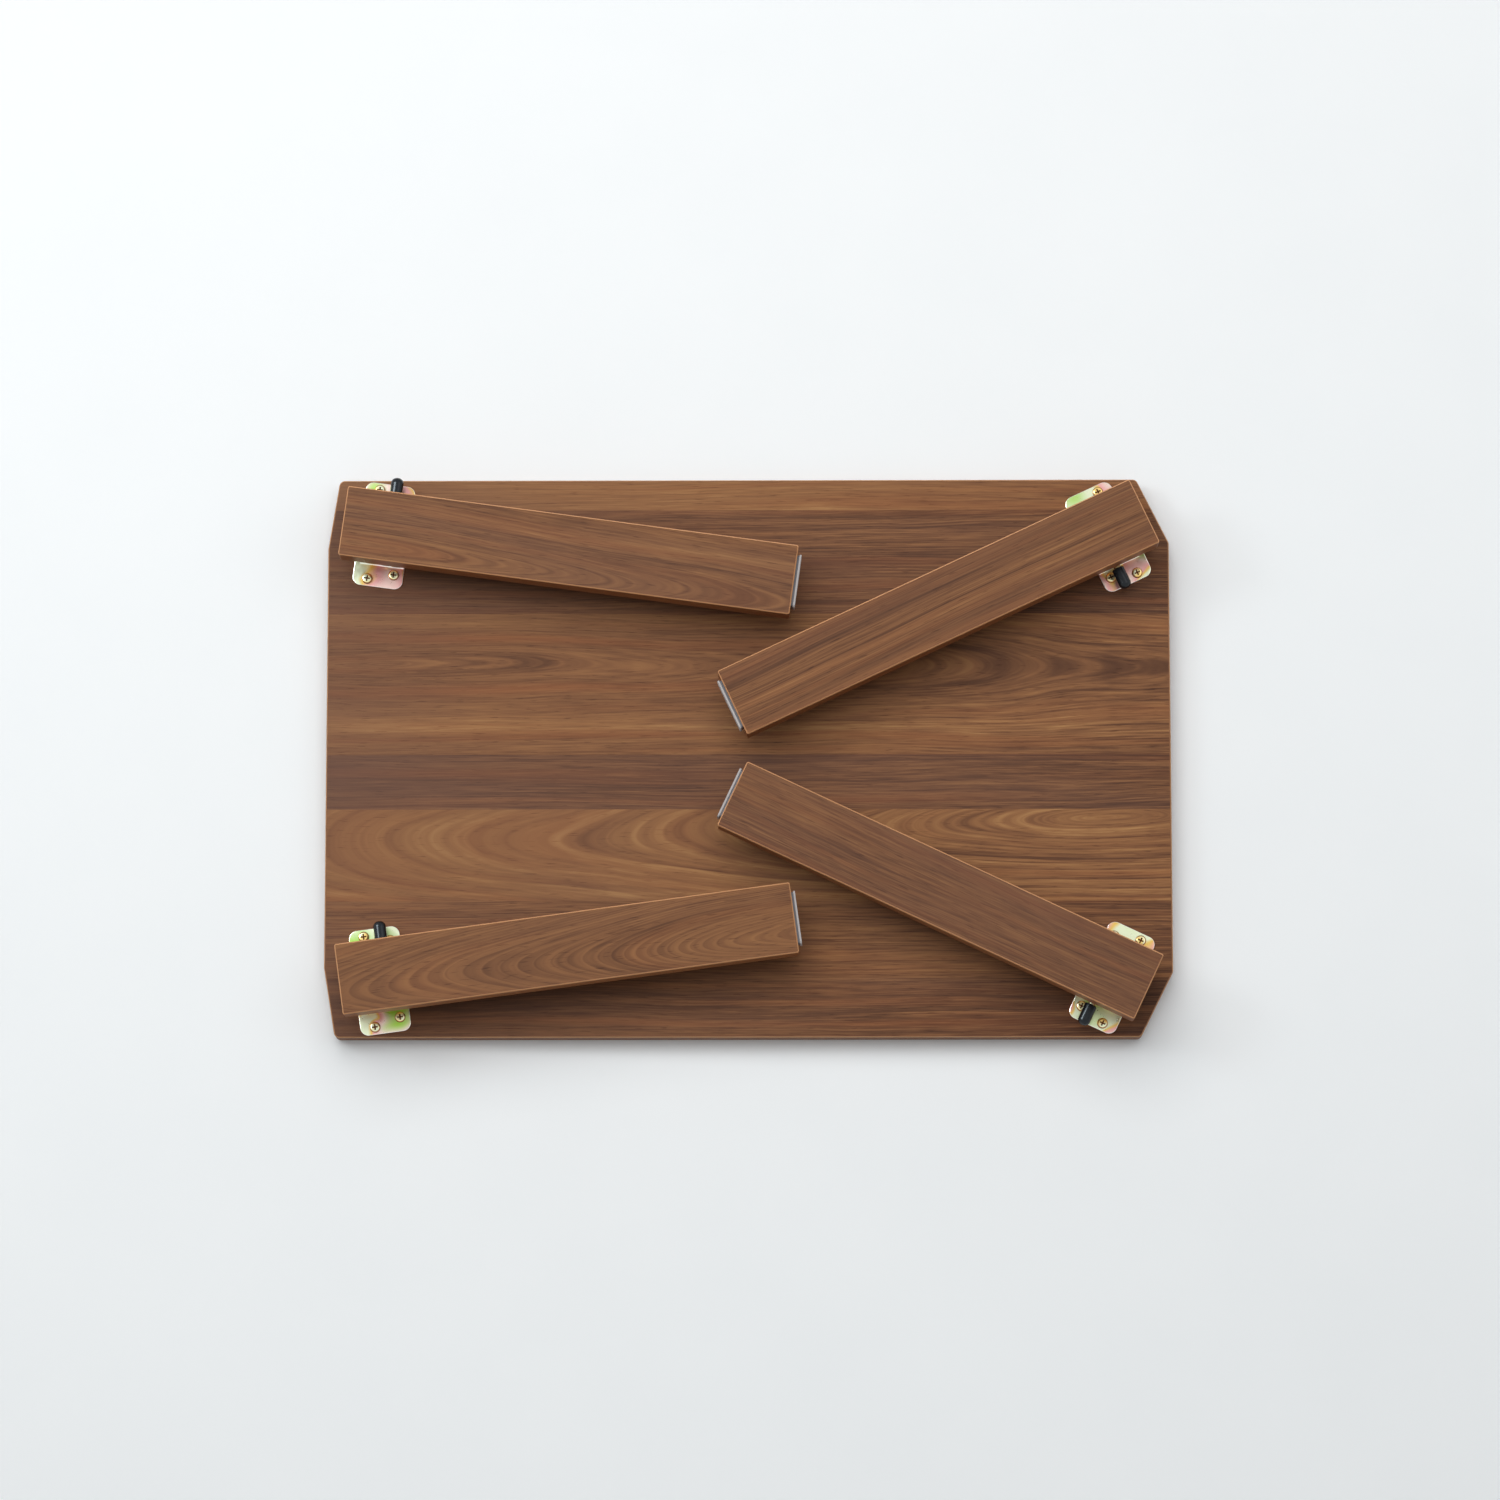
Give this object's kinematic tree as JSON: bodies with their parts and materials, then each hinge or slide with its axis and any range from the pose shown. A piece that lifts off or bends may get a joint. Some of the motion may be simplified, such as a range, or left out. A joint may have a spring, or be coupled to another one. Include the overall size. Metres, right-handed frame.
{
  "type": "folding low table",
  "caption": "Low rectangular wooden table with clipped corners, stored upside down with its legs folded flat on sprung locking hinges.",
  "frame": {"origin": "middle of the tabletop's upper face, which the folded table lies on", "axes": "+Z out of that face through the board to the folded legs, +X along the long side towards the end with the larger corner cuts, +Y along the short side"},
  "size_m": [0.6, 0.4, 0.062],
  "materials": {
    "walnut_facing": "satin printed walnut grain",
    "board": "raw particle board",
    "edge_band": "satin walnut band",
    "leg_wood": "satin walnut grain with a lighter edge",
    "zinc_plate": "yellow chromate over zinc",
    "spring_steel": "bright wire",
    "black_vinyl": "soft dipped vinyl",
    "grey_plastic": "moulded",
    "pale_sole": "soft moulded"
  },
  "bodies": {
    "tabletop": {"tabletop_core": "board", "top_facing": "walnut_facing", "underside_facing": "walnut_facing", "edge_band": "edge_band", "left_rear_hinge_base": "zinc_plate", "left_rear_base_screws": "zinc_plate", "left_rear_pivot_pin": "zinc_plate", "left_rear_lock_spring": "spring_steel", "left_front_hinge_base": "zinc_plate", "left_front_base_screws": "zinc_plate", "left_front_pivot_pin": "zinc_plate", "left_front_lock_spring": "spring_steel", "right_rear_hinge_base": "zinc_plate", "right_rear_base_screws": "zinc_plate", "right_rear_pivot_pin": "zinc_plate", "right_rear_lock_spring": "spring_steel", "right_front_hinge_base": "zinc_plate", "right_front_base_screws": "zinc_plate", "right_front_pivot_pin": "zinc_plate", "right_front_lock_spring": "spring_steel"},
    "left_rear_leg": {"left_rear_leg": "leg_wood", "left_rear_leg_bracket": "zinc_plate", "left_rear_bracket_screws": "zinc_plate", "left_rear_foot_glide": "grey_plastic", "left_rear_foot_pad": "pale_sole"},
    "left_rear_lever": {"left_rear_lock_rod": "zinc_plate", "left_rear_lever_cap": "black_vinyl"},
    "left_front_leg": {"left_front_leg": "leg_wood", "left_front_leg_bracket": "zinc_plate", "left_front_bracket_screws": "zinc_plate", "left_front_foot_glide": "grey_plastic", "left_front_foot_pad": "pale_sole"},
    "left_front_lever": {"left_front_lock_rod": "zinc_plate", "left_front_lever_cap": "black_vinyl"},
    "right_rear_leg": {"right_rear_leg": "leg_wood", "right_rear_leg_bracket": "zinc_plate", "right_rear_bracket_screws": "zinc_plate", "right_rear_foot_glide": "grey_plastic", "right_rear_foot_pad": "pale_sole"},
    "right_rear_lever": {"right_rear_lock_rod": "zinc_plate", "right_rear_lever_cap": "black_vinyl"},
    "right_front_leg": {"right_front_leg": "leg_wood", "right_front_leg_bracket": "zinc_plate", "right_front_bracket_screws": "zinc_plate", "right_front_foot_glide": "grey_plastic", "right_front_foot_pad": "pale_sole"},
    "right_front_lever": {"right_front_lock_rod": "zinc_plate", "right_front_lever_cap": "black_vinyl"}
  },
  "joints": [
    {"name": "left_rear_leg_hinge", "type": "hinge", "parent": "tabletop", "child": "left_rear_leg", "pos_m": [-0.26946, 0.16101, 0.0369], "axis": [-0.1347, -0.9909, 0], "range_deg": [0, 90]},
    {"name": "left_rear_lever_slide", "type": "slide", "parent": "tabletop", "child": "left_rear_lever", "axis": [0.9187, -0.1249, -0.3746], "range_m": [0, 0.003], "stiffness_N_per_m": 600, "springref_m": -0.004, "deforming": ["left_rear_lock_spring"]},
    {"name": "left_front_leg_hinge", "type": "hinge", "parent": "tabletop", "child": "left_front_leg", "pos_m": [-0.26946, -0.16101, 0.0369], "axis": [0.1347, -0.9909, 0], "range_deg": [0, 90]},
    {"name": "left_front_lever_slide", "type": "slide", "parent": "tabletop", "child": "left_front_lever", "axis": [0.9187, 0.1249, -0.3746], "range_m": [0, 0.003], "stiffness_N_per_m": 600, "springref_m": -0.004, "deforming": ["left_front_lock_spring"]},
    {"name": "right_rear_leg_hinge", "type": "hinge", "parent": "tabletop", "child": "right_rear_leg", "pos_m": [0.26512, 0.16196, 0.0369], "axis": [-0.4257, 0.9049, 0], "range_deg": [0, 90]},
    {"name": "right_rear_lever_slide", "type": "slide", "parent": "tabletop", "child": "right_rear_lever", "axis": [-0.839, -0.3947, -0.3746], "range_m": [0, 0.003], "stiffness_N_per_m": 600, "springref_m": -0.004, "deforming": ["right_rear_lock_spring"]},
    {"name": "right_front_leg_hinge", "type": "hinge", "parent": "tabletop", "child": "right_front_leg", "pos_m": [0.26512, -0.16196, 0.0369], "axis": [0.4257, 0.9049, 0], "range_deg": [0, 90]},
    {"name": "right_front_lever_slide", "type": "slide", "parent": "tabletop", "child": "right_front_lever", "axis": [-0.839, 0.3947, -0.3746], "range_m": [0, 0.003], "stiffness_N_per_m": 600, "springref_m": -0.004, "deforming": ["right_front_lock_spring"]}
  ]
}
